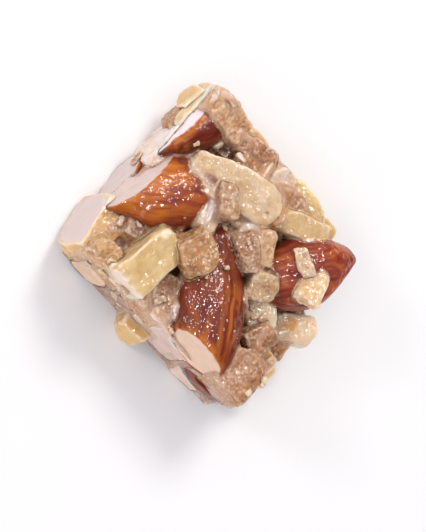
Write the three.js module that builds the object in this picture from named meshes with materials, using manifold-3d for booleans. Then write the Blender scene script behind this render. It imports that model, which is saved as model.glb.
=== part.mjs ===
// A bite-size square cut from a sheet of nut protein bar: whole and cut almonds, chopped nuts
// and crisps held by a set syrup. It lies on the flat side that the pressing tray left.
//
// Lengths are millimetres and angles degrees. The pieces are placed in the slab's drawing frame:
// u to the right and v up over the slab's face, w up from its flat underside. The slab was drawn
// standing on a corner, so the group turns that frame by 45 degrees and the cut sides then
// run along X and Y.
import * as THREE from "three";
import Module from "manifold-3d";
import { mergeVertices } from "three/addons/utils/BufferGeometryUtils.js";
import { ConvexGeometry } from "three/addons/geometries/ConvexGeometry.js";

const wasm = await Module();
wasm.setup();

// ---- Driving dimensions ----
const DRAWING_TURN = 45;
// The four corners of the cut square, slightly out of true, as [u, v] on the underside.
const CUT_CORNERS = { left: [-24.4, -0.6], top: [-1.4, 26.6], right: [24.2, -2.6], bottom: [1.7, -27.1] };
const CUT_HEIGHT = 20; // clears the highest piece
const CUT_LEANS = [0, 0, 2.0, 1.8]; // how far each side leans in from the underside to CUT_HEIGHT
const CORE_HEIGHT = 10.2; // crumbs and syrup between the large pieces
const CORE_INSETS = [0.3, 1.3, 1.3, 0.3]; // two sides are cut clean, the other two crumble back
const RAGGED_INSETS = [0, -1.0, -1.0, 0]; // loose crumbs stand out of those two by up to this
const GAP = 0.35; // between neighbouring pieces
const TABLE_REACH = 40; // half-width of the block that trims the underside flat

const ALMOND = { skin: "#a5562f", roughness: 0.28 };
const NUT = { skin: "#dcb988", roughness: 0.45 };
const CRISP = { skin: "#bb8a60", roughness: 0.7 };
const SYRUP = { skin: "#b98a6e", roughness: 0.25 };

// ---- Random draws ----
const LCG_FACTOR = 1664525;
const LCG_STEP = 1013904223;
const LCG_RANGE = 4294967296;
const SEED_SPREAD = 2654435761; // sets neighbouring seeds far apart

// A seeded draw between two bounds, the same on every run.
function seeded(seed) {
  let state = (seed * SEED_SPREAD) % LCG_RANGE;
  return (low, high) => {
    state = (Math.imul(state, LCG_FACTOR) + LCG_STEP) >>> 0;
    return low + ((high - low) * state) / LCG_RANGE;
  };
}

// ---- Shapes, as fields that are negative inside ----

// An almond: blunt at -x, pointed at +x, oval across.
const BLUNT_POWER = 0.5;
const POINT_POWER = 0.75;
const WIDEST = BLUNT_POWER / (BLUNT_POWER + POINT_POWER);
const FULLNESS = 1 / (WIDEST ** BLUNT_POWER * (1 - WIDEST) ** POINT_POWER);

function almondField([long, wide, thick]) {
  return (x, y, z) => {
    const t = Math.min(Math.max(x / long + 0.5, 0), 1);
    const radius = FULLNESS * t ** BLUNT_POWER * (1 - t) ** POINT_POWER;
    return Math.hypot((2 * y) / wide, (2 * z) / thick) - radius;
  };
}

// A chopped piece: a block with uneven sides and its corners knocked off.
const SIDE_TILT = 0.17;
const SIDE_SPREAD = 0.06;
const CORNER_TILT = 0.25;
const CORNER_DEPTH = [0.77, 0.94];

function choppedPlanes([long, wide, thick], seed) {
  const draw = seeded(seed);
  const half = [long / 2, wide / 2, thick / 2];
  const planes = [];
  for (let axis = 0; axis < 3; axis++)
    for (const sign of [-1, 1]) {
      const tilt = [0, 1, 2].map(() => draw(-SIDE_TILT, SIDE_TILT));
      tilt[axis] = sign;
      planes.push({ normal: tilt, depth: half[axis] * draw(1 - SIDE_SPREAD, 1 + SIDE_SPREAD) });
    }
  for (const sx of [-1, 1])
    for (const sy of [-1, 1])
      for (const sz of [-1, 1]) {
        const normal = [sx, sy, sz].map((s, i) => (s * (1 + draw(-CORNER_TILT, CORNER_TILT))) / half[i]);
        const support = normal.reduce((sum, n, i) => sum + Math.abs(n) * half[i], 0);
        planes.push({ normal, depth: support * draw(...CORNER_DEPTH) });
      }
  return planes;
}

const CHOPPED_EDGE = 11; // a higher power keeps a chopped nut's edges sharper
const CRISP_EDGE = 6;

function choppedField(size, seed, edge) {
  const planes = choppedPlanes(size, seed);
  return (x, y, z) => {
    let sum = 0;
    for (const { normal, depth } of planes) {
      const reach = (normal[0] * x + normal[1] * y + normal[2] * z) / depth;
      if (reach > 0) sum += reach ** edge;
    }
    return sum ** (1 / edge) - 1;
  };
}

// The closed skin of a field, found along rays from its middle.
const REACH = 1.6; // of the half sizes, beyond every shape
const HALVINGS = 22;

function fieldGeometry(field, size, detail) {
  const geometry = new THREE.IcosahedronGeometry(1, detail);
  const position = geometry.getAttribute("position");
  const ray = new THREE.Vector3();
  for (let i = 0; i < position.count; i++) {
    ray.fromBufferAttribute(position, i).multiply(new THREE.Vector3(...size).multiplyScalar(0.5));
    let near = 0;
    let far = REACH;
    for (let step = 0; step < HALVINGS; step++) {
      const middle = (near + far) / 2;
      if (field(ray.x * middle, ray.y * middle, ray.z * middle) < 0) near = middle;
      else far = middle;
    }
    ray.multiplyScalar(near);
    position.setXYZ(i, ray.x, ray.y, ray.z);
  }
  return geometry;
}

// ---- The pieces ----
// at [u, v, w] is a piece's middle, size [along, across, thick], and turn, pitch and roll its
// attitude: turn is anticlockwise on the face, a positive pitch lowers its +x end.
// A proud piece stands out of the cut side instead of being trimmed by it.
// A slice is one piece's own cut face: a point on it, the way it faces, and its lean from upright.
// Of two pieces that meet, the one further down the list gives way.
const pieces = [];
const piece = (kind, name, at, size, turn, more = {}) =>
  pieces.push({ kind, name, at, size, turn, pitch: 0, roll: 0, bend: 0, seed: pieces.length + 1, ...more });
const almond = (...row) => piece("almond", ...row);
const nut = (...row) => piece("nut", ...row);
const crisp = (...row) => piece("crisp", ...row);

// The pieces of the face, the topmost first.
nut("nut_crumb_on_almond", [13.9, -5.9, 14.8], [6.0, 4.3, 1.9], 60, { pitch: 12, roll: -14, seed: 61 });
crisp("crisp_on_almond", [-6.2, -0.6, 14.4], [6.6, 5.8, 5.0], -62, { seed: 62 });
almond("almond_upper_left", [-11.9, 9.5, 10.2], [24.5, 12.4, 8.0], 176, {
  roll: 8,
  proud: true,
  slice: { at: [-11.2, 12.4, 13.0], turn: 128, lean: 14 },
});
crisp("crisp_honeyed", [-0.6, 7.6, 13.0], [6.2, 3.5, 4.4], 92, { seed: 63 });
nut("cashew_large", [0.8, 9.9, 11.0], [17.0, 6.5, 6.4], -32, { pitch: -4, bend: 0.006, seed: 64 });
crisp("crisp_rod_left", [3.0, -0.4, 13.0], [6.8, 3.1, 4.2], 101, { seed: 65 });
crisp("crisp_rod_right", [6.1, 0.2, 13.0], [6.0, 3.4, 4.2], 82, { seed: 66 });
crisp("crisp_cube", [5.4, -5.8, 12.6], [4.8, 4.8, 4.6], 70, { seed: 67 });
almond("almond_centre", [-2.9, -8.1, 12.2], [26.8, 12.0, 7.8], 80, {
  pitch: 7,
  proud: true,
  slice: { at: [-5.4, -16.6, 14.2], turn: -138, lean: 27 },
});
nut("nut_chip_under", [-3.4, 5.3, 11.4], [4.6, 3.4, 3.8], 62, { seed: 85 });
nut("nut_diagonal", [-14.3, -2.5, 12.5], [12.6, 6.2, 5.6], 37, { seed: 68 });
crisp("crisp_bottom", [0.8, -21.0, 11.2], [9.6, 7.8, 7.6], 58, { seed: 69 });
nut("nut_right_back", [12.9, 3.9, 10.4], [11.0, 4.4, 6.0], -17, { seed: 70 });
almond("almond_right", [14.6, -3.5, 11.2], [17.6, 12.3, 8.0], 13, { pitch: -4 });
crisp("crisp_syrupy", [5.6, -14.3, 10.9], [5.8, 4.6, 5.0], 24, { seed: 71 });
crisp("crisp_top", [-0.3, 21.5, 11.4], [8.8, 5.4, 6.4], -44, { seed: 72 });
crisp("crisp_back_long", [5.1, 15.8, 11.4], [7.8, 2.9, 4.2], -22, { seed: 73 });
crisp("crisp_back_inner", [4.2, 12.9, 10.8], [6.4, 4.0, 4.6], -30, { seed: 74 });
crisp("crisp_back_small", [9.4, 13.3, 10.2], [4.6, 3.4, 4.4], 10, { seed: 75 });
nut("nut_white", [10.2, 11.4, 10.6], [4.8, 3.4, 4.4], -14, { seed: 76 });
crisp("crisp_back_round", [9.2, 8.5, 10.8], [4.2, 3.8, 4.6], 60, { seed: 77 });
crisp("crisp_back_bead", [11.9, 7.8, 9.8], [3.6, 3.0, 4.2], 20, { seed: 78 });
crisp("crisp_left", [-20.2, -0.5, 10.8], [5.6, 4.2, 4.4], -35, { seed: 81 });
nut("nut_left", [-20.6, 3.6, 5.9], [10.2, 6.4, 9.0], 52, {
  seed: 79,
  proud: true,
  slice: { at: [-22.6, 4.2, 6.0], turn: 146, lean: 9 },
});
almond("almond_top", [-5.0, 19.4, 9.8], [14.8, 8.6, 8.0], 215, {
  pitch: -4,
  slice: { at: [-6.9, 19.2, 13.2], turn: 137, lean: 30 },
});
crisp("crisp_top_left", [-5.8, 21.0, 5.6], [5.2, 3.2, 5.4], 50, { seed: 92, proud: true });
nut("nut_top_slice", [-3.6, 22.6, 7.9], [9.6, 3.2, 6.4], 49, { seed: 80, proud: true });
nut("nut_top_yellow", [-3.9, 23.7, 7.6], [4.4, 3.6, 4.6], 47, { seed: 93, proud: true });
crisp("crisp_left_edge", [-18.7, -3.9, 9.4], [5.4, 3.6, 5.2], -46, { seed: 82 });
crisp("crisp_lower_left", [-13.2, -9.3, 9.8], [7.0, 3.6, 5.0], -44, { seed: 83 });
crisp("crisp_hollow", [-10.4, -7.0, 10.2], [5.6, 5.8, 5.4], -20, { seed: 84 });
crisp("crisp_hollow_right", [-14.6, 2.2, 8.6], [3.4, 3.0, 5.0], -30, { seed: 86 });
nut("nut_lower_left", [-9.2, -13.2, 7.8], [10.6, 6.0, 9.2], -45, { seed: 87 });
nut("nut_between", [6.2, -10.3, 8.2], [5.6, 5.6, 6.4], 20, { seed: 88 });
nut("nut_proud_right", [13.2, -12.9, 6.9], [7.6, 4.8, 5.4], -8, { seed: 89, proud: true });
nut("nut_lower_right", [7.4, -17.8, 8.8], [4.2, 3.4, 4.6], 46, { seed: 90, proud: true });

// The lower layer, which shows on the sides and the underside.
almond("almond_under_left", [-13.9, 9.8, 4.1], [20.0, 10.6, 8.2], -40, {
  proud: true,
  slice: { at: [-16.3, 10.3, 4.0], turn: 142, lean: 8 },
});
nut("nut_cream", [-8.1, 17.0, 5.3], [10.6, 3.4, 10.6], 50, { roll: -5, seed: 91, proud: true });
almond("almond_corner_left", [-18.6, -1.3, 4.5], [17.0, 9.6, 8.6], 225, { roll: 80 });
nut("nut_back_pale", [6.2, 16.9, 6.0], [6.2, 4.4, 5.6], -48, { seed: 94, proud: true });
nut("nut_back_yellow", [15.2, 7.5, 5.4], [9.0, 4.4, 6.6], -50, { seed: 95, proud: true });
nut("nut_back_corner", [18.4, 3.2, 6.2], [5.6, 4.2, 5.6], -48, { seed: 96, proud: true });
nut("nut_proud_left", [-12.8, -12.6, 2.8], [5.0, 3.6, 5.2], -46, { seed: 97, proud: true });
almond("almond_low", [-1.2, -18.7, 6.0], [15.0, 7.8, 7.8], 133, { proud: true });
nut("nut_low_chip", [-3.4, -20.6, 2.8], [5.6, 3.6, 5.0], -48, { seed: 98 });
crisp("crisp_low_right", [11.3, -15.6, 5.6], [5.0, 3.6, 5.2], 46, { seed: 100, proud: true });
nut("nut_crescent", [8.0, -20.2, 5.0], [5.2, 3.6, 5.0], 46, { seed: 99, proud: true });
almond("almond_under_right", [16.2, -0.9, 3.1], [18.0, 10.4, 6.8], 40);
almond("almond_under_back", [6.4, 10.0, 3.2], [20.0, 10.6, 7.0], 30);

// ---- Joining and cutting ----
// From these lengths a piece of the face gets finer faces.
const LARGE_ALMOND = 24;
const LARGE_CHOPPED = 7.1;
const UNDER_LAYER = 7.0; // pieces with their middle below this are seen only from the sides
const CRUMB_DETAIL = 0;
// A coarser cutter is this share larger, as its flat faces sink below the curved shape.
const FACET_SAG = 0.12;

const WELD = 1e-5; // vertices nearer than this are one

function solidOf(geometry) {
  const bare = geometry.clone();
  bare.deleteAttribute("normal");
  bare.deleteAttribute("uv");
  const merged = mergeVertices(bare, WELD);
  return new wasm.Manifold(
    new wasm.Mesh({
      numProp: 3,
      vertProperties: new Float32Array(merged.attributes.position.array),
      triVerts: new Uint32Array(merged.index.array),
    }),
  );
}

function geometryOf(solid) {
  const mesh = solid.getMesh();
  const geometry = new THREE.BufferGeometry();
  geometry.setAttribute("position", new THREE.BufferAttribute(new Float32Array(mesh.vertProperties), 3));
  geometry.setIndex(new THREE.BufferAttribute(new Uint32Array(mesh.triVerts), 1));
  geometry.computeVertexNormals();
  return geometry;
}

// The largest separate body of a cut solid; the scraps that a cut leaves are dropped.
function largestBody(solid) {
  return solid.decompose().reduce((best, body) => (body.volume() > best.volume() ? body : best));
}

function placement({ at, turn, pitch, roll }) {
  const radians = THREE.MathUtils.degToRad;
  const attitude = new THREE.Euler(radians(roll), radians(pitch), radians(turn), "ZYX");
  return new THREE.Matrix4().compose(
    new THREE.Vector3(...at),
    new THREE.Quaternion().setFromEuler(attitude),
    new THREE.Vector3(1, 1, 1),
  );
}

// A piece's solid in the drawing frame, with its sizes times swell and margin more on every side.
function rawPiece(row, detail, swell = 1, margin = 0) {
  const size = row.size.map((length) => length * swell + 2 * margin);
  const field =
    row.kind === "almond"
      ? almondField(size)
      : choppedField(size, row.seed, row.kind === "nut" ? CHOPPED_EDGE : CRISP_EDGE);
  const geometry = fieldGeometry(field, size, detail);
  const position = geometry.getAttribute("position");
  for (let i = 0; i < position.count; i++)
    position.setY(i, position.getY(i) - row.bend * position.getX(i) ** 2);
  return solidOf(geometry.applyMatrix4(placement(row)));
}

// What a piece's own slice leaves of its solid, with the cut face moved out by a margin.
function sliced(solid, { at, turn, lean }, margin = 0) {
  const up = THREE.MathUtils.degToRad(lean);
  const round = THREE.MathUtils.degToRad(turn);
  const facing = new THREE.Vector3(Math.cos(up) * Math.cos(round), Math.cos(up) * Math.sin(round), Math.sin(up));
  const reach = facing.dot(new THREE.Vector3(...at)) + margin;
  return solid.trimByPlane(facing.negate().toArray(), -reach);
}

// How finely a piece's faces are divided: the large ones of the face most.
function detailOf(row) {
  const long = row.size[0];
  if (row.kind === "almond") return long < LARGE_ALMOND ? 2 : 3;
  return row.at[2] < UNDER_LAYER || long < LARGE_CHOPPED ? 1 : 2;
}

// The corners of the cut square at height w, with each side moved inwards by its own inset.
function insetCorners(insets, w) {
  const corners = Object.values(CUT_CORNERS).map((c) => new THREE.Vector2(...c));
  const sides = corners.map((corner, i) => {
    const along = corners[(i + 1) % 4].clone().sub(corner).normalize();
    const inward = new THREE.Vector2(along.y, -along.x);
    return { inward, offset: inward.dot(corner) + insets[i] + (CUT_LEANS[i] * w) / CUT_HEIGHT };
  });
  return sides.map((side, i) => {
    const before = sides[(i + 3) % 4];
    const cross = before.inward.cross(side.inward);
    return new THREE.Vector2(
      (before.offset * side.inward.y - side.offset * before.inward.y) / cross,
      (side.offset * before.inward.x - before.offset * side.inward.x) / cross,
    );
  });
}

// The block that the knife leaves.
function cutBlock(insets, height) {
  const points = [0, height].flatMap((w) =>
    insetCorners(insets, w).map((corner) => new THREE.Vector3(corner.x, corner.y, w)),
  );
  return solidOf(new ConvexGeometry(points));
}

const knifeBlock = cutBlock([0, 0, 0, 0], CUT_HEIGHT);
const tableBlock = solidOf(
  new THREE.BoxGeometry(2 * TABLE_REACH, 2 * TABLE_REACH, CUT_HEIGHT).translate(0, 0, CUT_HEIGHT / 2),
);

// ---- The core: set syrup and crumbs, with the small crisps and nut bits that show fused on ----
const CRUMBS = { seed: 7, onTop: 10, onSides: 16, long: [2.6, 4.4], across: [0.6, 0.85], tilt: 40 };
const CRUMB_SEEDS = [200, 900];
const CRUMB_SINK = 0.6; // a side crumb's middle lies this far inside the core's side
const SIDE_SPAN = [0.05, 0.95]; // of a side's length
const SIDE_HEIGHTS = [1.4, CORE_HEIGHT + 0.4];
const TOP_SPAN = [0.08, 0.92]; // of the core's width and depth
const TOP_RISE = 0.9; // a top crumb's middle stands up to this far above the core
// Between two pieces on the lower right the core is broken away down to the underside.
const NOTCH = { at: [13.2, -10.7, 5.6], size: [4.4, 3.4, 17], turn: 0, pitch: -24, roll: 0 };

function crumb(draw, at) {
  const long = draw(...CRUMBS.long);
  const size = [long, long * draw(...CRUMBS.across), long * draw(...CRUMBS.across)];
  const field = choppedField(size, Math.round(draw(...CRUMB_SEEDS)), CRISP_EDGE);
  const attitude = {
    turn: draw(0, 180),
    pitch: draw(-CRUMBS.tilt, CRUMBS.tilt),
    roll: draw(-CRUMBS.tilt, CRUMBS.tilt),
  };
  const geometry = fieldGeometry(field, size, CRUMB_DETAIL);
  return solidOf(geometry.applyMatrix4(placement({ at, ...attitude })));
}

function makeCore() {
  const draw = seeded(CRUMBS.seed);
  const corners = insetCorners(CORE_INSETS.map((inset) => inset + CRUMB_SINK), 0);
  let core = cutBlock(CORE_INSETS, CORE_HEIGHT);
  for (let i = 0; i < CRUMBS.onSides; i++) {
    const p = corners[i % 4].clone().lerp(corners[(i + 1) % 4], draw(...SIDE_SPAN));
    core = core.add(crumb(draw, [p.x, p.y, draw(...SIDE_HEIGHTS)]));
  }
  for (let i = 0; i < CRUMBS.onTop; i++) {
    const across = draw(...TOP_SPAN);
    const left = corners[0].clone().lerp(corners[1], across);
    const p = left.lerp(corners[3].clone().lerp(corners[2], across), draw(...TOP_SPAN));
    core = core.add(crumb(draw, [p.x, p.y, CORE_HEIGHT + draw(0, TOP_RISE)]));
  }
  const notch = fieldGeometry(choppedField(NOTCH.size, CRUMBS.seed, CRISP_EDGE), NOTCH.size, 1);
  core = core.subtract(solidOf(notch.applyMatrix4(placement(NOTCH))));
  return core.intersect(cutBlock(RAGGED_INSETS, CUT_HEIGHT));
}

// ---- The group ----
const material = (finish) =>
  new THREE.MeshStandardMaterial({ color: finish.skin, roughness: finish.roughness, metalness: 0 });
const FINISH = { almond: ALMOND, nut: NUT, crisp: CRISP };

const slab = new THREE.Group();
slab.rotation.z = THREE.MathUtils.degToRad(DRAWING_TURN);

let taken = null; // the solids placed so far, each grown by the gap
for (const row of pieces) {
  let solid = rawPiece(row, detailOf(row)).intersect(row.proud ? tableBlock : knifeBlock);
  if (row.slice) solid = sliced(solid, row.slice);
  if (taken) solid = largestBody(solid.subtract(taken));
  const cutterDetail = detailOf(row) < 3 ? 1 : 2;
  const swell = cutterDetail < detailOf(row) ? 1 + FACET_SAG : 1;
  let grown = rawPiece(row, cutterDetail, swell, GAP);
  if (row.slice) grown = sliced(grown, row.slice, GAP);
  taken = taken ? taken.add(grown) : grown;

  const mesh = new THREE.Mesh(geometryOf(solid), material(FINISH[row.kind]));
  const place = placement(row);
  mesh.geometry.applyMatrix4(place.clone().invert());
  place.decompose(mesh.position, mesh.quaternion, mesh.scale);
  mesh.name = row.name;
  slab.add(mesh);
}

const core = new THREE.Mesh(geometryOf(largestBody(makeCore().subtract(taken))), material(SYRUP));
core.name = "syrup_core";
slab.add(core);

const nutBarPiece = new THREE.Group();
nutBarPiece.add(slab);
export default nutBarPiece;
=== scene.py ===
"""The looks of a bite-size cut of nut protein bar: almonds, chopped nuts and puffed crisps in set syrup."""
import math

import bpy
import numpy as np
from mathutils import Matrix


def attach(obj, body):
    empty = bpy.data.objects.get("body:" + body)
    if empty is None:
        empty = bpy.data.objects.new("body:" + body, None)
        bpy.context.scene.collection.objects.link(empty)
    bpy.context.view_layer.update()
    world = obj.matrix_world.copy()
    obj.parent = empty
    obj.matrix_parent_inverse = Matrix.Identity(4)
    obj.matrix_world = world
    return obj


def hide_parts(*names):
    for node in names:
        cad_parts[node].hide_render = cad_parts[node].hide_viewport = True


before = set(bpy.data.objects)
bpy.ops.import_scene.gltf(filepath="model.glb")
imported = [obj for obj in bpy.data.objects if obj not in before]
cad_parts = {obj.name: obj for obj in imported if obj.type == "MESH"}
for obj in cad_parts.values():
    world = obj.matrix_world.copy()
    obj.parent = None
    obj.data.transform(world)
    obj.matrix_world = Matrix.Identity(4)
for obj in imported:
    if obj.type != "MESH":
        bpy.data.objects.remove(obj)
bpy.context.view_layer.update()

# ---- The drawing frame, in mm: u right, v up the photo, w up. Turned by 45 degrees it is the part's ----
MM = 0.001
TURN = math.radians(45)
TO_PART = np.array([[math.cos(TURN), -math.sin(TURN), 0], [math.sin(TURN), math.cos(TURN), 0], [0, 0, 1]])
CUT_CORNERS = np.array([(-24.4, -0.6), (-1.4, 26.6), (24.2, -2.6), (1.7, -27.1)])
CUT_LEANS = (0, 0, 2.0, 1.8)
CUT_HEIGHT = 20
CUTS = []  # a corner on each cut side and the direction inward from it
for corner, following in zip(CUT_CORNERS, np.roll(CUT_CORNERS, -1, axis=0)):
    along = (following - corner) / np.hypot(*(following - corner))
    CUTS.append((corner, np.array([along[1], -along[0]])))
CORE_HEIGHT = 10.2
CORE_INSETS = (0.3, 1.3, 1.3, 0.3)

# ---- The camera: a long lens over the face, leaning to the left side as the photograph does ----
LENS = 135
SENSOR = 36
PHOTO = (426, 532)
CAMERA_LEAN = math.radians(22)
CAMERA_AIM = np.array([-3.15, -2.65, 14.0])
CAMERA_DISTANCE = 316.67
PIXELS = LENS / SENSOR * PHOTO[1]
BACK = np.array([-math.sin(CAMERA_LEAN), 0, math.cos(CAMERA_LEAN)])
RIGHT = np.array([math.cos(CAMERA_LEAN), 0, math.sin(CAMERA_LEAN)])
UP = np.array([0.0, 1.0, 0.0])
EYE = CAMERA_AIM + BACK * CAMERA_DISTANCE


def linear(hex_colour):
    """An sRGB hex colour as linear RGB."""
    srgb = np.array([int(hex_colour[i:i + 2], 16) / 255 for i in (1, 3, 5)])
    return np.where(srgb <= 0.04045, srgb / 12.92, ((srgb + 0.055) / 1.055) ** 2.4)


def rgba(hex_colour):
    return (*linear(hex_colour), 1.0)


# ---- Seeded draws and noise ----
def seeded(seed):
    """The same draws as the solids': a linear congruential generator."""
    state = (seed * 2654435761) % 2 ** 32

    def draw(low, high):
        nonlocal state
        state = (state * 1664525 + 1013904223) % 2 ** 32
        return low + (high - low) * state / 2 ** 32

    return draw


def noise(points, size, seed=0):
    """Smooth noise from -1 to 1 with features of that size in mm: lattice values, eased between."""
    scaled = points / size
    cell = np.floor(scaled).astype(np.int64)
    t = scaled - cell
    t = t * t * (3 - 2 * t)
    first = cell.reshape(-1, 3).min(0)
    span = cell.reshape(-1, 3).max(0) - first + 2
    n = 0
    for axis, factor in enumerate((73856093, 19349663, 83492791)):
        shape = [1, 1, 1]
        shape[axis] = -1
        n = n ^ ((np.arange(span[axis]) + first[axis]) * factor).reshape(shape)
    n = n ^ (seed * 2654435761)
    n = ((n ^ (n >> 13)) * 1274126177) & 0xFFFFFFFF
    n = ((n ^ (n >> 15)) * 2246822519) & 0xFFFFFFFF
    lattice = (((n ^ (n >> 16)) & 0xFFFF) / 32767.5 - 1).astype(np.float32).ravel()
    cell -= first
    start = (cell[..., 0] * span[1] + cell[..., 1]) * span[2] + cell[..., 2]
    values = [lattice[start + (i * span[1] + j) * span[2] + k] for i, j, k in np.ndindex(2, 2, 2)]
    for axis in (2, 1, 0):
        values = [low + (high - low) * t[..., axis] for low, high in zip(values[::2], values[1::2])]
    return values[0]


def fractal(points, size, seed=0, octaves=3):
    """Noise with finer noise laid over it, each octave half the size and half the height."""
    total = sum(noise(points, size / 2 ** i, seed + i) / 2 ** i for i in range(octaves))
    return total / (2 - 2 ** (1 - octaves))


# ---- Shapes, as fields that are negative inside ----
BLUNT_POWER = 0.5
POINT_POWER = 0.75
WIDEST = BLUNT_POWER / (BLUNT_POWER + POINT_POWER)
FULLNESS = 1 / (WIDEST ** BLUNT_POWER * (1 - WIDEST) ** POINT_POWER)
SIDE_TILT = 0.17
SIDE_SPREAD = 0.06
CORNER_TILT = 0.25
CORNER_DEPTH = (0.77, 0.94)


def almond_field(p, size):
    t = np.clip(p[..., 0] / size[0] + 0.5, 0, 1)
    radius = FULLNESS * t ** BLUNT_POWER * (1 - t) ** POINT_POWER
    return np.hypot(2 * p[..., 1] / size[1], 2 * p[..., 2] / size[2]) - radius


def chopped_planes(size, seed):
    draw = seeded(seed)
    half = [length / 2 for length in size]
    planes = []
    for axis in range(3):
        for sign in (-1, 1):
            tilt = [draw(-SIDE_TILT, SIDE_TILT) for _ in range(3)]
            tilt[axis] = sign
            planes.append((tilt, half[axis] * draw(1 - SIDE_SPREAD, 1 + SIDE_SPREAD)))
    for corner in np.ndindex(2, 2, 2):
        normal = [(2 * c - 1) * (1 + draw(-CORNER_TILT, CORNER_TILT)) / h for c, h in zip(corner, half)]
        support = sum(abs(n) * h for n, h in zip(normal, half))
        planes.append((normal, support * draw(*CORNER_DEPTH)))
    return planes


def chopped_field(p, size, seed, edge):
    total = 0
    for normal, depth in chopped_planes(size, seed):
        reach = np.maximum(p @ (np.array(normal) / depth), 0)
        total = total + reach ** edge
    return total ** (1 / edge) - 1


EDGES = {"nut": 16, "crisp": 12}  # a higher power keeps the edges sharper
# The broken end of a ragged piece: where it starts and is full, in half lengths, and its two grains in mm.
BROKEN_FROM = 0.55
BROKEN_OVER = 0.3
BROKEN_GRAINS = (1.1, 0.55)
# No piece grew or broke true: its shape wanders by so many mm, over so many mm.
WANDER = {"almond": (0.32, 6.0), "nut": (0.38, 2.8), "crisp": (0.48, 2.3)}


def attitude(turn, pitch, roll):
    """Local to drawing frame."""
    c, s = math.cos, math.sin
    a, b, g = (math.radians(x) for x in (turn, pitch, roll))
    about_w = np.array([[c(a), -s(a), 0], [s(a), c(a), 0], [0, 0, 1]])
    about_v = np.array([[c(b), 0, s(b)], [0, 1, 0], [-s(b), 0, c(b)]])
    about_u = np.array([[1, 0, 0], [0, c(g), -s(g)], [0, s(g), c(g)]])
    return about_w @ about_v @ about_u


def knife(p, insets=(0, 0, 0, 0)):
    """The block that the knife leaves, as a distance."""
    reach = []
    for (corner, inward), inset, lean in zip(CUTS, insets, CUT_LEANS):
        reach.append(inward @ corner + inset + lean / CUT_HEIGHT * p[..., 2] - p[..., :2] @ inward)
    return np.max(reach, axis=0)


# ---- The pieces, as in the solids: middle, size, turn, and the colours of each ----
pieces = []


def piece(kind, name, at, size, turn, colour, flesh="#ecd9c8", **more):
    """A row. A proud piece stands out of the knife's cuts, and its own cut has a point, a turn and a lean."""
    plain = dict(pitch=0, roll=0, bend=0, proud=False, cut=None, ragged=0.15, rim=None, glow=1.0)
    row = dict(kind=kind, name=name, at=np.array(at), size=size, colour=colour, flesh=flesh)
    row = {**row, **plain, "seed": len(pieces) + 1, **more}
    pieces.append({**row, "axes": attitude(turn, row["pitch"], row["roll"])})


def almond(*row, **more):
    piece("almond", *row, **more)


def nut(*row, **more):
    piece("nut", *row, **more)


def crisp(*row, **more):
    piece("crisp", *row, **more)


nut("nut_crumb_on_almond", [13.9, -5.9, 14.8], [6.0, 4.3, 1.9], 60, "#e6c9a0", pitch=12, roll=-14, seed=61,
    ragged=0.4)
crisp("crisp_on_almond", [-6.2, -0.6, 14.4], [6.6, 5.8, 5.0], -62, "#bd8e5e", seed=62)
almond("almond_upper_left", [-11.9, 9.5, 10.2], [24.5, 12.4, 8.0], 176, "#9f4a20", roll=8, proud=True,
       cut=([-11.2, 12.4, 13.0], 128, 14), rim="#8a3a24", flesh="#d9c4ba", glow=6.0)
crisp("crisp_honeyed", [-0.6, 7.6, 13.0], [6.2, 3.5, 4.4], 92, "#c9a484", seed=63)
nut("cashew_large", [0.8, 9.9, 11.0], [17.0, 6.5, 6.4], -32, "#dfc6a4", pitch=-4, bend=0.006, seed=64)
crisp("crisp_rod_left", [3.0, -0.4, 13.0], [6.8, 3.1, 4.2], 101, "#b89173", seed=65)
crisp("crisp_rod_right", [6.1, 0.2, 13.0], [6.0, 3.4, 4.2], 82, "#d0a97f", seed=66)
crisp("crisp_cube", [5.4, -5.8, 12.6], [4.8, 4.8, 4.6], 70, "#d0b18c", seed=67)
almond("almond_centre", [-2.9, -8.1, 12.2], [26.8, 12.0, 7.8], 80, "#8c3c1c", pitch=7, proud=True,
       cut=([-5.4, -16.6, 14.2], -138, 27), flesh="#e6c8b0", rim="#5e1e10")
nut("nut_chip_under", [-3.4, 5.3, 11.4], [4.6, 3.4, 3.8], 62, "#e6cfae", seed=85)
nut("nut_diagonal", [-14.3, -2.5, 12.5], [12.6, 6.2, 5.6], 37, "#e2c793", seed=68, ragged=0.9)
crisp("crisp_bottom", [0.8, -21.0, 11.2], [9.6, 7.8, 7.6], 58, "#c19473", seed=69)
nut("nut_right_back", [12.9, 3.9, 10.4], [11.0, 4.4, 6.0], -17, "#d8bb8c", seed=70)
almond("almond_right", [14.6, -3.5, 11.2], [17.6, 12.3, 8.0], 13, "#a34a2a", pitch=-4, rim="#8f3e28")
crisp("crisp_syrupy", [5.6, -14.3, 10.9], [5.8, 4.6, 5.0], 24, "#b68b69", seed=71)
crisp("crisp_top", [-0.3, 21.5, 11.4], [8.8, 5.4, 6.4], -44, "#d6ac86", seed=72)
crisp("crisp_back_long", [5.1, 15.8, 11.4], [7.8, 2.9, 4.2], -22, "#bb8b6b", seed=73)
crisp("crisp_back_inner", [4.2, 12.9, 10.8], [6.4, 4.0, 4.6], -30, "#bf8f66", seed=74)
crisp("crisp_back_small", [9.4, 13.3, 10.2], [4.6, 3.4, 4.4], 10, "#c08a5e", seed=75)
nut("nut_white", [10.2, 11.4, 10.6], [4.8, 3.4, 4.4], -14, "#ead5c4", seed=76)
crisp("crisp_back_round", [9.2, 8.5, 10.8], [4.2, 3.8, 4.6], 60, "#c0885c", seed=77)
crisp("crisp_back_bead", [11.9, 7.8, 9.8], [3.6, 3.0, 4.2], 20, "#bd8a66", seed=78)
crisp("crisp_left", [-20.2, -0.5, 10.8], [5.6, 4.2, 4.4], -35, "#d2a97a", seed=81)
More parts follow.
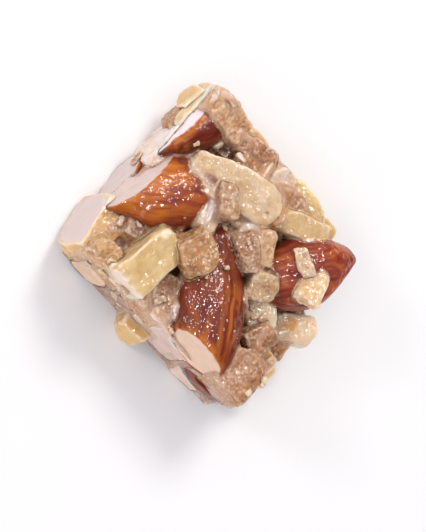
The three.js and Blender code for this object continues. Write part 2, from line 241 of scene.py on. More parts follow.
nut("nut_left", [-20.6, 3.6, 5.9], [10.2, 6.4, 9.0], 52, "#e2bd84", seed=79, proud=True,
    cut=([-22.6, 4.2, 6.0], 146, 9), flesh="#dbc9c2")
almond("almond_top", [-5.0, 19.4, 9.8], [14.8, 8.6, 8.0], 215, "#7a2a10", pitch=-4,
       cut=([-6.9, 19.2, 13.2], 137, 30), flesh="#efe3e2", rim="#4a120a", glow=1.3)
crisp("crisp_top_left", [-5.8, 21.0, 5.6], [5.2, 3.2, 5.4], 50, "#b98659", seed=92, proud=True)
nut("nut_top_slice", [-3.6, 22.6, 7.9], [9.6, 3.2, 6.4], 49, "#e4c696", seed=80, proud=True)
nut("nut_top_yellow", [-3.9, 23.7, 7.6], [4.4, 3.6, 4.6], 47, "#dfbd86", seed=93, proud=True)
crisp("crisp_left_edge", [-18.7, -3.9, 9.4], [5.4, 3.6, 5.2], -46, "#cc9f7a", seed=82)
crisp("crisp_lower_left", [-13.2, -9.3, 9.8], [7.0, 3.6, 5.0], -44, "#cba07e", seed=83)
crisp("crisp_hollow", [-10.4, -7.0, 10.2], [5.6, 5.8, 5.4], -20, "#b38a6c", seed=84)
crisp("crisp_hollow_right", [-14.6, 2.2, 8.6], [3.4, 3.0, 5.0], -30, "#b08268", seed=86)
nut("nut_lower_left", [-9.2, -13.2, 7.8], [10.6, 6.0, 9.2], -45, "#d3b49a", seed=87, flesh="#d9c2b8")
nut("nut_between", [6.2, -10.3, 8.2], [5.6, 5.6, 6.4], 20, "#ecd8b8", seed=88)
nut("nut_proud_right", [13.2, -12.9, 6.9], [7.6, 4.8, 5.4], -8, "#e8cfae", seed=89, proud=True, ragged=0.6)
nut("nut_lower_right", [7.4, -17.8, 8.8], [4.2, 3.4, 4.6], 46, "#d9b183", seed=90, proud=True)

# The lower layer, which shows on the sides and the underside.
almond("almond_under_left", [-13.9, 9.8, 4.1], [20.0, 10.6, 8.2], -40, "#8f3f1c", proud=True,
       cut=([-16.3, 10.3, 4.0], 142, 8), flesh="#dccac4", rim="#6a2a14")
nut("nut_cream", [-8.1, 17.0, 5.3], [10.6, 3.4, 10.6], 50, "#ecdcd2", roll=-5, seed=91, proud=True,
    flesh="#e6d6d0")
almond("almond_corner_left", [-18.6, -1.3, 4.5], [17.0, 9.6, 8.6], 225, "#7e3a1c", roll=80, flesh="#e4c3a4",
       rim="#6a2a14")
nut("nut_back_pale", [6.2, 16.9, 6.0], [6.2, 4.4, 5.6], -48, "#e3c79c", seed=94, proud=True)
nut("nut_back_yellow", [15.2, 7.5, 5.4], [9.0, 4.4, 6.6], -50, "#e6ce96", seed=95, proud=True)
nut("nut_back_corner", [18.4, 3.2, 6.2], [5.6, 4.2, 5.6], -48, "#e2c187", seed=96, proud=True)
nut("nut_proud_left", [-12.8, -12.6, 2.8], [5.0, 3.6, 5.2], -46, "#dfb97c", seed=97, proud=True)
almond("almond_low", [-1.2, -18.7, 6.0], [15.0, 7.8, 7.8], 133, "#7a2c12", proud=True, rim="#5a1a0e")
nut("nut_low_chip", [-3.4, -20.6, 2.8], [5.6, 3.6, 5.0], -48, "#d9b183", seed=98)
crisp("crisp_low_right", [11.3, -15.6, 5.6], [5.0, 3.6, 5.2], 46, "#bd8a60", seed=100, proud=True)
nut("nut_crescent", [8.0, -20.2, 5.0], [5.2, 3.6, 5.0], 46, "#e3c496", seed=99, proud=True)
almond("almond_under_right", [16.2, -0.9, 3.1], [18.0, 10.4, 6.8], 40, "#93431f")
almond("almond_under_back", [6.4, 10.0, 3.2], [20.0, 10.6, 7.0], 30, "#93431f")

# ---- One grid over the whole piece; each piece's field fills the box around it ----
STEP = 0.25
LOW = np.array([-27.5, -30.0, -1.25])
SHAPE = (220, 240, 82)
MARGIN = 2.0  # mm of field kept round each piece
SEAM = 0.05  # pieces that meet stay this far apart, and the syrup fills the seam
FAR = 9.0
FILM = 0.11  # taken off the syrup all over, so a film this thin is only the gloss of the piece under it
LEAST_SLOPE = 0.02

nearest = np.full(SHAPE, FAR, np.float32)  # distance to the nearest piece
second = np.full(SHAPE, FAR, np.float32)  # and to the one after it, small only in the seams
owner = np.full(SHAPE, -1, np.int16)
syrup = np.full(SHAPE, FAR, np.float32)


def box_of(low, high):
    """The grid's slices that cover a box in mm."""
    first = np.maximum(np.floor((low - LOW) / STEP).astype(int), 0)
    last = np.minimum(np.ceil((high - LOW) / STEP).astype(int) + 1, SHAPE)
    return tuple(slice(a, b) for a, b in zip(first, last))


def grid_points(box):
    axes = [(LOW[i] + STEP * np.arange(s.start, s.stop)).astype(np.float32) for i, s in enumerate(box)]
    return np.stack(np.meshgrid(*axes, indexing="ij"), -1)


def as_distance(field):
    """A field turned into mm near its surface, by its own slope."""
    slope = np.sqrt(sum(g * g for g in np.gradient(field, STEP)))
    return np.clip(field / np.maximum(slope, LEAST_SLOPE), -FAR, FAR)


def sample(field, points, origin=LOW):
    """A field's value at points, between its grid points."""
    spot = np.clip((points - origin) / STEP, 0, np.array(field.shape) - 1.001)
    cell = spot.astype(int)
    t = spot - cell
    value = 0
    for corner in np.ndindex(2, 2, 2):
        weight = np.prod(np.where(corner, t, 1 - t), axis=-1)
        value = value + weight * field[tuple((cell + corner).T)]
    return value


def slopes(field, points, origin=LOW):
    """Unit outward directions of a field at points."""
    reach = 0.6 * STEP
    ahead, behind = ([sample(field, points + way * reach * d, origin) for d in np.eye(3)] for way in (1, -1))
    slope = np.stack(ahead, -1) - np.stack(behind, -1)
    return slope / np.maximum(np.linalg.norm(slope, axis=-1, keepdims=True), 1e-9)


def local_points(row, points):
    """Points as the piece sees them, before it wandered and bent."""
    amount, size = WANDER[row["kind"]]
    wander = np.stack([noise(points, size, row["seed"] + 1000 * i) for i in (1, 2, 3)], -1)
    local = (points + amount * row.get("unruly", 1) * wander - row["at"]) @ row["axes"]
    local[..., 1] += row["bend"] * local[..., 0] ** 2
    return local


def uncut(row, points):
    """The piece as it grew or broke, before the knife."""
    local, size = local_points(row, points), row["size"]
    if row["kind"] == "almond":
        return np.maximum(as_distance(almond_field(local, size)), np.abs(local[..., 0]) - size[0] / 2)
    distance = as_distance(chopped_field(local, size, row["seed"], EDGES[row["kind"]]))
    # A ragged piece broke at its -x end and was cut along its sides.
    end = np.clip((-local[..., 0] * 2 / size[0] - BROKEN_FROM) / BROKEN_OVER, 0, 1)
    coarse, fine = (noise(points, grain, row["seed"]) for grain in BROKEN_GRAINS)
    return distance + row["ragged"] * end * (coarse + 0.5 * fine)


def blended(a, b, width):
    """The two fields joined with a fillet, as a set liquid joins two solids."""
    near = np.maximum(width - np.abs(a - b), 0) / width
    return np.minimum(a, b) - near * near * width / 4


def slice_distance(cut, points):
    """How far points are past the face that a knife cut on one piece."""
    at, turn, lean = cut
    turn, lean = math.radians(turn), math.radians(lean)
    facing = np.array([math.cos(lean) * math.cos(turn), math.cos(lean) * math.sin(turn), math.sin(lean)])
    return (points - at) @ facing


FILLET = 1.35  # mm across which the syrup rounds off between pieces
SMALL_FILLET = 0.6  # and at the small bits and the drips
BEND_REACH = 60  # mm2: a bent piece's ends leave its box by its bend times this
DRAG = (0.12, 2.2)  # mm: the knife drags a little, so a cut face is not quite flat
placed = []
for number, row in enumerate(pieces):
    reach = np.abs(row["axes"]) @ (np.array(row["size"]) / 2 + [0, row["bend"] * BEND_REACH, 0])
    box = box_of(row["at"] - reach - MARGIN, row["at"] + reach + MARGIN)
    points = grid_points(box)
    grown = uncut(row, points)
    field = np.maximum(grown, -points[..., 2])
    drag = DRAG[0] * noise(points, DRAG[1], 5)
    if not row["proud"]:
        field = np.maximum(field, knife(points) + drag)
    if row["cut"]:
        field = np.maximum(field, slice_distance(row["cut"], points) + drag)
    field = np.maximum(field, SEAM - nearest[box]).astype(np.float32)
    mine = field < nearest[box]
    owner[box][mine] = number
    second[box] = np.minimum(second[box], np.maximum(field, nearest[box]))
    nearest[box] = np.minimum(nearest[box], field)
    syrup[box] = blended(syrup[box], field, FILLET)
    placed.append((box, field, grown.astype(np.float32)))

# ---- The core: syrup and crumbs, its top uneven between the large pieces ----
everywhere = tuple(slice(0, n) for n in SHAPE)
core_points = grid_points(everywhere)
CORE_SINK = 1.2
CORE_SWELL = (0.9, 5.0)
swell = CORE_SWELL[0] * fractal(core_points[:, :, :1], CORE_SWELL[1], 21)
core_top = core_points[..., 2] - (CORE_HEIGHT - CORE_SINK + swell)
core = np.maximum(np.maximum(knife(core_points, CORE_INSETS), core_top), -core_points[..., 2])
# On the lower right it is broken away down to the table.
NOTCH = dict(kind="crisp", at=np.array([13.2, -10.7, 5.6]), size=[4.4, 3.4, 17], axes=attitude(0, -24, 0),
             bend=0, seed=7, ragged=0)
NOTCH_REACH = 10
notch_box = box_of(NOTCH["at"] - NOTCH_REACH, NOTCH["at"] + NOTCH_REACH)
notch = np.full(SHAPE, FAR, np.float32)
notch[notch_box] = uncut(NOTCH, grid_points(notch_box))
core = np.maximum(core, -notch).astype(np.float32)

# The lumps fused to the core: the same draws as the solids'.
CRUMBS = dict(seed=7, on_top=10, on_sides=16, long=(2.6, 4.4), across=(0.6, 0.85), tilt=40)
CRUMB_SINK = 0.6


def inset_corners(insets):
    """The corners of the block when each of its sides moves in."""
    sides = [(inward, inward @ corner + inset) for (corner, inward), inset in zip(CUTS, insets)]
    pairs = [(sides[i - 1], sides[i]) for i in range(4)]
    return [np.linalg.solve(np.array([a, b]), np.array([p, q])) for (a, p), (b, q) in pairs]


def crumb_rows():
    draw = seeded(CRUMBS["seed"])
    corners = inset_corners([inset + CRUMB_SINK for inset in CORE_INSETS])

    def crumb(place):
        long = draw(*CRUMBS["long"])
        size = [long, long * draw(*CRUMBS["across"]), long * draw(*CRUMBS["across"])]
        seed = math.floor(draw(200, 900) + 0.5)
        turn = draw(0, 180)
        axes = attitude(turn, *(draw(-CRUMBS["tilt"], CRUMBS["tilt"]) for _ in range(2)))
        return dict(kind="crisp", at=place, size=size, seed=seed, axes=axes, bend=0, ragged=0.15)

    rows = []
    for i in range(CRUMBS["on_sides"]):
        a, b, t = corners[i % 4], corners[(i + 1) % 4], draw(0.05, 0.95)
        rows.append(crumb(np.array([*(a + (b - a) * t), draw(1.4, CORE_HEIGHT + 0.4)])))
    for i in range(CRUMBS["on_top"]):
        across = draw(0.08, 0.92)
        left = corners[0] + (corners[1] - corners[0]) * across
        right = corners[3] + (corners[2] - corners[3]) * across
        place = left + (right - left) * draw(0.08, 0.92)
        rows.append(crumb(np.array([*place, CORE_HEIGHT + draw(0, 0.9)])))
    return rows


SIDE_LUMPS = (0, -1, -1, 0)  # mm that lumps may stand out of each cut side, less than nothing where they do
lumps = np.full(SHAPE, FAR, np.float32)
for row in crumb_rows():
    reach = max(row["size"]) * 0.75 + MARGIN
    box = box_of(row["at"] - reach, row["at"] + reach)
    points = grid_points(box)
    field = np.maximum(uncut(row, points), -points[..., 2])
    field = np.maximum(field, knife(points, SIDE_LUMPS))
    field = np.maximum(field, SEAM - nearest[box])
    lumps[box] = np.minimum(lumps[box], field)


# ---- Places read off the photograph land on what the camera sees there ----
SIGHT_TOP = 18.5  # mm: a sight line is searched from this height on
SIGHT_STEPS = np.arange(0, 22, 0.1)


def seen(px, py, field):
    """The first point of a field on the sight line through a pixel of the photograph."""
    sight = RIGHT * ((px - PHOTO[0] / 2) / PIXELS) - UP * ((py - PHOTO[1] / 2) / PIXELS) - BACK
    reach = (SIGHT_TOP - EYE[2]) / sight[2] + SIGHT_STEPS
    line = EYE + sight * reach[:, None]
    cell = np.clip(np.round((line - LOW) / STEP).astype(int), 0, np.array(SHAPE) - 1)
    inside = field[cell[:, 0], cell[:, 1], cell[:, 2]] < 0
    return line[np.argmax(inside)] if inside.any() else line[len(line) // 2]


# Small bits that lie on the pieces: the pixel where each shows, its size in mm, its turn and its colour.
BITS = [
    (196, 143, (1.2, 0.8, 0.7), 30, "#dcb27c"), (138, 159, (2.6, 1.4, 0.9), 40, "#a05c16"),
    (241, 158, (2.0, 0.9, 0.8), -52, "#ece2e6"), (232, 101, (2.6, 1.2, 1.1), -38, "#a87848"),
    (248, 392, (1.3, 1.0, 0.9), 40, "#f0e2d2"), (120, 222, (2.0, 1.3, 1.1), 60, "#bda096"),
    (131, 232, (2.2, 1.2, 1.0), -35, "#a98d82"), (118, 238, (1.6, 1.3, 1.0), 10, "#7c3c22"),
    (137, 224, (1.8, 1.1, 1.0), 80, "#b3978a"), (128, 246, (1.7, 1.2, 1.0), 20, "#9c6a4c"),
    (171, 331, (1.1, 0.8, 0.8), 80, "#ecdfd4"), (176, 317, (1.0, 0.8, 0.8), 60, "#e6d6ca"),
    (304, 263, (5.0, 2.8, 0.8), -74, "#dfc3a5"), (160, 300, (2.0, 1.3, 1.1), 15, "#b98a66"),
    (252, 306, (2.2, 1.0, 0.9), 78, "#d9b890"), (262, 318, (1.6, 1.1, 1.0), 30, "#c59468"),
    (279, 222, (1.9, 1.2, 1.0), 70, "#b8825c"), (226, 268, (1.2, 0.8, 0.8), 15, "#d2a780"),
    (112, 262, (1.7, 1.3, 1.0), -30, "#d0a67c"), (104, 272, (1.9, 1.3, 1.0), -44, "#cda27a"),
    (124, 288, (1.8, 1.2, 1.0), -44, "#c99d78"), (142, 303, (1.7, 1.2, 1.0), -30, "#cfa684"),
    (262, 382, (2.0, 1.3, 1.0), 50, "#e3c79c"), (270, 360, (1.7, 1.2, 1.0), 46, "#dcb583"),
]
bits = np.full(SHAPE, FAR, np.float32)
painted = []  # spots of colour on what lies there: middle, reach and colour
carried = np.minimum(nearest, np.minimum(lumps, core))
for px, py, size, turn, colour in BITS:
    spot = seen(px, py, carried)
    facing = slopes(carried, spot[None])[0]
    run = np.array([math.cos(math.radians(turn)), math.sin(math.radians(turn)), 0])
    run -= facing * (run @ facing)
    run /= np.linalg.norm(run)
    row = dict(kind="crisp", at=spot + facing * size[2] * 0.2, size=size, seed=px, bend=0, ragged=0,
               unruly=0.3 * size[0] / 2, axes=np.column_stack([run, np.cross(facing, run), facing]))
    box = box_of(spot - size[0] - MARGIN, spot + size[0] + MARGIN)
    points = grid_points(box)
    free = np.maximum(SEAM - nearest[box], -points[..., 2])
    bits[box] = np.minimum(bits[box], np.maximum(uncut(row, points), free))
    painted.append((spot, size[0] * 0.75, linear(colour)))

second = np.minimum(second, np.maximum(nearest, lumps))
syrup = blended(syrup, lumps, FILLET)
syrup = blended(syrup, core, FILLET)
syrup = blended(syrup, bits, SMALL_FILLET)
lumps = np.minimum(lumps, bits)
with_lumps = np.minimum(nearest, lumps)

# Glaze that set in drops and runs: the pixels of its ends, its radius in mm, how flat it is, its colour.
GLAZE = [
    ((236, 221), (246, 229), 1.7, 2.0, "#ead8cc"), ((228, 212), (236, 224), 0.8, 1.5, "#cfa684"),
    ((222, 93), (231, 97), 0.7, 1.4, "#ddc3ae"), ((231, 97), (240, 105), 0.55, 1.3, "#d9bba2"),
    ((240, 132), (249, 140), 0.7, 1.4, "#cfa98e"), ((263, 176), (270, 166), 0.8, 1.6, "#d3a988"),
    ((108, 280), (122, 296), 0.9, 1.6, "#d3a782"), ((124, 300), (140, 312), 0.9, 1.5, "#d8b697"),
    ((142, 313), (151, 319), 0.8, 1.4, "#d3ab8a"), ((173, 318), (176, 306), 0.5, 1.6, "#e0c8bc"),
    ((266, 330), (258, 345), 0.9, 1.5, "#c4936f"), ((244, 300), (247, 316), 0.7, 1.5, "#cfa580"),
    ((283, 210), (276, 222), 0.8, 1.5, "#cf9d72"), ((108, 222), (113, 232), 0.6, 1.4, "#b98c74"),
    ((206, 222), (212, 208), 0.9, 1.8, "#d9c8c0"),
]
# Painted shade: dark spots laid on the syrup and on the lumps in the hollows, where deep syrup lies in shade:
# the pixel, the radius in mm and the colour.
SHADE_POOLS = [
    (203, 151, 1.4, "#5a1c10"), (212, 149, 2.0, "#4a160e"), (224, 155, 2.2, "#3c120c"),
    (236, 153, 1.6, "#54200f"),
    (122, 254, 1.5, "#4c2410"), (136, 247, 1.2, "#6a3c26"), (141, 230, 1.3, "#5c4238"),
    (150, 236, 1.3, "#6e4c3c"),
    (172, 268, 1.8, "#3a1c0e"), (164, 262, 1.2, "#4c2814"), (164, 296, 1.5, "#6a4226"),
    (262, 220, 1.2, "#7c5236"),
    (216, 226, 1.0, "#4e2024"), (279, 207, 1.2, "#8c4a22"),
]
GLAZE_EDGE = 0.6  # mm past a drip across which its colour fades
glazed = []  # spots of glaze: middle, reach and colour
for start, end, radius, flat, colour in GLAZE:
    a, b = seen(*start, syrup), seen(*end, syrup)
    box = box_of(np.minimum(a, b) - radius - MARGIN, np.maximum(a, b) + radius + MARGIN)
    points = grid_points(box)
    along = b - a
    t = np.clip((points - a) @ along / (along @ along), 0, 1)
    off = points - a - t[..., None] * along
    off = off + BACK * ((off @ BACK) * (flat - 1))[..., None]
    drip = (np.linalg.norm(off, axis=-1) - radius * (0.85 + 0.35 * noise(points, 1.5, 9))) / flat
    drip = np.maximum(drip, -points[..., 2]).astype(np.float32)
    syrup[box] = blended(syrup[box], drip, SMALL_FILLET)
    glazed += [(a + along * share, radius + GLAZE_EDGE, linear(colour)) for share in (0, 0.5, 1)]
shade_pools = [(seen(px, py, syrup), radius, linear(colour)) for px, py, radius, colour in SHADE_POOLS]

# No syrup stands on the cut faces in view or hangs in the notch.
TRIM_INSETS = (-0.1, -1.3, -1.3, -0.1)
past_knife = np.minimum(knife(core_points, TRIM_INSETS), nearest)
trim = np.maximum(past_knife, np.minimum(-notch, nearest))
syrup = np.maximum(syrup, np.maximum(trim, -core_points[..., 2])).astype(np.float32)


# ---- Fields to meshes ----
SETTLINGS = 2  # times that vertices move onto a field's surface
SETTLING = 0.8  # and the share of the way that they go each time
TURN_REACH = 0.5
FLAT_TURN = 0.035
EDGE_TURN = 0.09


def surface(field, origin):
    """The closed surface of a field: a vertex in each grid cell that it passes through, and quads between."""
    inside = field < 0
    width, depth, height = np.array(field.shape) - 1
    count = sum(inside[a:a + width, b:b + depth, c:c + height].astype(np.int8) for a, b,
                c in np.ndindex(2, 2, 2))
    cells = np.argwhere((count > 0) & (count < 8))
    index = np.full(count.shape, -1, np.int64)
    index[tuple(cells.T)] = np.arange(len(cells))
    total, crossings = np.zeros((len(cells), 3)), np.zeros(len(cells))
    for axis in range(3):
        for corner in np.ndindex(2, 2, 2):
            if corner[axis]:
                continue
            start = cells + corner
            end = start + np.eye(3, dtype=int)[axis]
            a, b = field[tuple(start.T)], field[tuple(end.T)]
            crossed = (a < 0) != (b < 0)
            t = np.where(crossed, a / np.where(crossed, a - b, 1), 0)
            spot = start.astype(float)
            spot[:, axis] += t
            total[crossed] += spot[crossed]
            crossings += crossed
    vertices = (total / crossings[:, None]) * STEP + origin
    quads = []
    for axis in range(3):
        one, two = (axis + 1) % 3, (axis + 2) % 3
        body = [slice(1, n - 1) for n in field.shape]
        ahead = list(body)
        body[axis], ahead[axis] = slice(1, field.shape[axis] - 2), slice(2, field.shape[axis] - 1)
        a, b = inside[tuple(body)], inside[tuple(ahead)]
        edges = np.argwhere(a != b) + 1
        leaving = a[a != b]
        step_one, step_two = np.eye(3, dtype=int)[one], np.eye(3, dtype=int)[two]
        ring = [index[tuple((edges - s).T)] for s in (0, step_one, step_one + step_two, step_two)]
        ring = np.stack(ring, -1)
        ring[~leaving] = ring[~leaving][:, ::-1]
        quads.append(ring)
    for _ in range(SETTLINGS):
        short = sample(field, vertices, origin)[:, None]
        vertices = vertices - short * slopes(field, vertices, origin) * SETTLING
    return vertices, np.concatenate(quads)


def turning(field, vertices, origin):
    """How sharply a surface turns: 0 where flat, positive on an edge and negative in a crevice."""
    reaches = [sign * TURN_REACH * d for d in np.eye(3) for sign in (-1, 1)]
    around = sum(sample(field, vertices + reach, origin) for reach in reaches) / len(reaches)
    return around - sample(field, vertices, origin)


def edges(field, vertices, origin):
    """0 where a surface is flat and 1 on its edges."""
    return np.clip((turning(field, vertices, origin) - FLAT_TURN) / EDGE_TURN, 0, 1)


def plain_object(name, vertices, quads):
    """A Blender object in the part's frame, in metres, from vertices in mm in the drawing frame."""
    mesh = bpy.data.meshes.new(name)
    mesh.vertices.add(len(vertices))
    mesh.vertices.foreach_set("co", (vertices @ TO_PART.T * MM).astype(np.float32).ravel())
    mesh.loops.add(quads.size)
    mesh.loops.foreach_set("vertex_index", quads.astype(np.int32).ravel())
    mesh.polygons.add(len(quads))
    mesh.polygons.foreach_set("loop_start", np.arange(0, quads.size, quads.shape[1], dtype=np.int32))
    mesh.polygons.foreach_set("use_smooth", np.ones(len(quads), bool))
    obj = bpy.data.objects.new(name, mesh)
    bpy.context.collection.objects.link(obj)
    return obj


def mesh_piece(name, vertices, quads, attributes, material, node, slot):
    """A mesh with its looks, standing for a CAD node."""
    obj = plain_object(name, vertices, quads)
    mesh = obj.data
    for key, value in attributes.items():
        value = np.asarray(value, np.float32)
        width = value.shape[1] if value.ndim > 1 else 1
        kind, field = {1: ("FLOAT", "value"), 3: ("FLOAT_VECTOR", "vector"),
                       4: ("FLOAT_COLOR", "color")}[width]
        mesh.attributes.new(key, kind, "POINT").data.foreach_set(field, value.ravel())
    mesh.update(calc_edges=True)
    mesh.validate()
    mesh.materials.append(material)
    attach(obj, "root")
    if node:
        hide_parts(node)
    return obj


# ---- Materials ----
READS = {"local": "Vector", "tone": "Color", "flesh_tone": "Color"}  # the other attributes are plain numbers


def adder(tree):
    def add(kind, inputs=None, **settings):
        """A node with its settings, its inputs set to a value or linked to a socket or a node."""
        made = tree.nodes.new(kind if "Node" in kind else "ShaderNode" + kind)
        for key, value in settings.items():
            setattr(made, key, value)
        for socket, value in (inputs or {}).items():
            if isinstance(value, bpy.types.Node):
                value = next(output for output in value.outputs if output.enabled)
            if isinstance(value, bpy.types.NodeSocket):
                tree.links.new(value, made.inputs[socket])
            else:
                made.inputs[socket].default_value = value
        return made

    return add


def stops(ramp, *colours):
    """A ramp's stops, as (position, hex colour)."""
    elements = ramp.color_ramp.elements
    while len(elements) < len(colours):
        elements.new(0.5)
    for element, (position, colour) in zip(elements, colours):
        element.position = position
        element.color = rgba(colour)


def new_material(name, *attributes):
    """A material, what adds its nodes, the place on the object, and the socket of each attribute it reads."""
    material = bpy.data.materials.new(name)
    material.use_nodes = True
    material.node_tree.nodes.clear()
    add = adder(material.node_tree)
    sockets = [add("Attribute", attribute_name=key).outputs[READS.get(key, "Fac")] for key in attributes]
    return material, add, add("TexCoord").outputs["Object"], *sockets


def syrup_gloss(add, coords, strength):
    """The uneven film of set syrup over a piece, as a normal for its coat: runs 1 mm across and tiny bubbles.
    A pattern's scale on the object is in features to a metre, so 1000 is one to a millimetre."""
    runs = add("TexNoise", {"Vector": coords, "Scale": 900.0, "Detail": 1.0, "Roughness": 0.4})
    bubbles = add("TexVoronoi", {"Vector": coords, "Scale": 1500.0, "Randomness": 1.0})
    dome = add("Math", {0: bubbles, 1: 0.35}, operation="LESS_THAN")
    some = add("Math", {0: bubbles.outputs["Color"], 1: 0.8}, operation="GREATER_THAN")
    spots = add("Math", {0: dome, 1: some}, operation="MULTIPLY")
    height = add("Math", {0: spots, 1: 0.5, 2: runs}, operation="MULTIPLY_ADD")
    return add("Bump", {"Strength": strength, "Distance": 0.0006, "Height": height})


def almond_material():
    """Almond skin, thin and wrinkled lengthwise, orange where light gets under it, and cream flesh where
    it is cut, all under glossy syrup."""
    material, add, coords, local, tone, flesh_tone, flesh, stain = new_material(
        "almond_skin_and_flesh", "local", "tone", "flesh_tone", "flesh", "stain")
    # Wavy streaks up to 1 mm across and 7 mm long, in bands twice that size. The local attribute is in mm.
    along = add("VectorMath", {0: local, 1: (0.14, 1.0, 1.0)}, operation="MULTIPLY")
    fine_streaks = add("TexNoise", {"Vector": along, "Scale": 1.0, "Detail": 2.0, "Roughness": 0.5,
                                    "Distortion": 0.6})
    bands = add("TexNoise", {"Vector": along, "Scale": 0.5, "Detail": 2.0, "Distortion": 0.8})
    streaks = add("Math", {0: fine_streaks, 1: bands}, operation="ADD")
    mean = add("Math", {0: streaks, 1: 0.5}, operation="MULTIPLY")
    ramp = add("ValToRGB", {"Fac": mean})
    stops(ramp, (0.34, "#b4705e"), (0.46, "#ecd2ca"), (0.54, "#ffffff"), (0.70, "#ffffff"))
    streaked = add("Mix", {"Factor": 1.0, 6: tone, 7: ramp}, data_type="RGBA", blend_type="MULTIPLY")
    light = add("MapRange", {"Value": streaks, "From Min": 1.0, "From Max": 1.3, "To Max": 0.55})
    lit = add("Mix", {"Factor": light, 6: streaked, 7: rgba("#d67a1e")}, data_type="RGBA")
    patches = add("TexNoise", {"Vector": local, "Scale": 0.2, "Detail": 2.0})
    deep = add("MapRange", {"Value": patches, "From Min": 0.45, "From Max": 0.62, "To Max": 0.7})
    skin = add("Mix", {"Factor": deep, 6: lit, 7: streaked}, data_type="RGBA")
    # In the crevices, under the syrup, the skin turns dark maroon: its wet colour and painted shade of the
    # crevice.
    stained = add("Mix", {"Factor": stain, 6: skin, 7: rgba("#5a1a0c")}, data_type="RGBA")
    grain = add("TexNoise", {"Vector": coords, "Scale": 900.0, "Detail": 3.0})
    mottle = add("MapRange", {"Value": grain, "From Min": 0.3, "From Max": 0.7, "To Min": 0.95,
                              "To Max": 1.02})
    pale = add("VectorMath", {0: flesh_tone, "Scale": mottle}, operation="SCALE")
    colour = add("Mix", {"Factor": flesh, 6: stained, 7: pale}, data_type="RGBA")
    fine = add("VectorMath", {0: local, 1: (0.3, 2.2, 2.2)}, operation="MULTIPLY")
    wrinkles = add("TexNoise", {"Vector": fine, "Scale": 1.0, "Detail": 4.0, "Roughness": 0.6})
    uneven = add("MapRange", {"Value": flesh, "To Min": 0.5, "To Max": 0.06})
    bump = add("Bump", {"Strength": uneven, "Distance": 0.00018, "Height": wrinkles})
    rough = add("MapRange", {"Value": flesh, "To Min": 0.38, "To Max": 0.55})
    soft = add("MapRange", {"Value": flesh, "To Min": 0.08, "To Max": 0.8})
    coat = add("MapRange", {"Value": flesh, "To Min": 0.9, "To Max": 0.15})
    shader = add("BsdfPrincipled", {
        "Base Color": colour, "Roughness": rough, "Specular IOR Level": 0.15, "Subsurface Weight": soft,
        "Subsurface Radius": (1.0, 0.6, 0.4), "Subsurface Scale": 0.0012, "Normal": bump,
        "Coat Weight": coat, "Coat Roughness": 0.06, "Coat IOR": 1.46,
        "Coat Normal": syrup_gloss(add, coords, 0.75)})
    add("OutputMaterial", {"Surface": shader})
    return material


def nut_material():
    """Chopped nut: dense, waxy ivory flesh that lets light in, grainy where broken, under glossy syrup."""
    material, add, coords, tone, flesh_tone, flesh, stain, worn = new_material(
        "chopped_nut", "tone", "flesh_tone", "flesh", "stain", "worn")
    patches = add("TexNoise", {"Vector": coords, "Scale": 330.0, "Detail": 4.0, "Roughness": 0.6})
    ramp = add("ValToRGB", {"Fac": patches})
    stops(ramp, (0.32, "#ecdcc6"), (0.48, "#fbf6ee"), (0.62, "#ffffff"))
    own = add("Mix", {"Factor": flesh, 6: tone, 7: flesh_tone}, data_type="RGBA")
    uncut = add("MapRange", {"Value": flesh, "To Min": 1.0, "To Max": 0.2})
    mottled = add("Mix", {"Factor": uncut, 6: own, 7: ramp}, data_type="RGBA", blend_type="MULTIPLY")
    broken = add("Math", {0: worn, 1: 0.7}, operation="MULTIPLY")
    mottled = add("Mix", {"Factor": broken, 6: mottled, 7: rgba("#f6e9dc")}, data_type="RGBA")
    amount = add("Math", {0: stain, 1: 0.6}, operation="MULTIPLY")
    stained = add("Mix", {"Factor": amount, 6: mottled, 7: rgba("#bd8148")}, data_type="RGBA")
    grain = add("TexNoise", {"Vector": coords, "Scale": 1100.0, "Detail": 4.0, "Roughness": 0.65})
    uneven = add("MapRange", {"Value": flesh, "To Min": 0.6, "To Max": 0.05})
    bump = add("Bump", {"Strength": uneven, "Distance": 0.00025, "Height": grain})
    coat = add("MapRange", {"Value": flesh, "To Min": 0.65, "To Max": 0.15})
    shader = add("BsdfPrincipled", {
        "Base Color": stained, "Roughness": 0.5, "Specular IOR Level": 0.25, "Subsurface Weight": 0.85,
        "Subsurface Radius": (1.0, 0.8, 0.6), "Subsurface Scale": 0.0011, "Normal": bump,
        "Coat Weight": coat, "Coat Roughness": 0.14, "Coat IOR": 1.48,
        "Coat Normal": syrup_gloss(add, coords, 0.6)})
    add("OutputMaterial", {"Surface": shader})
    return material


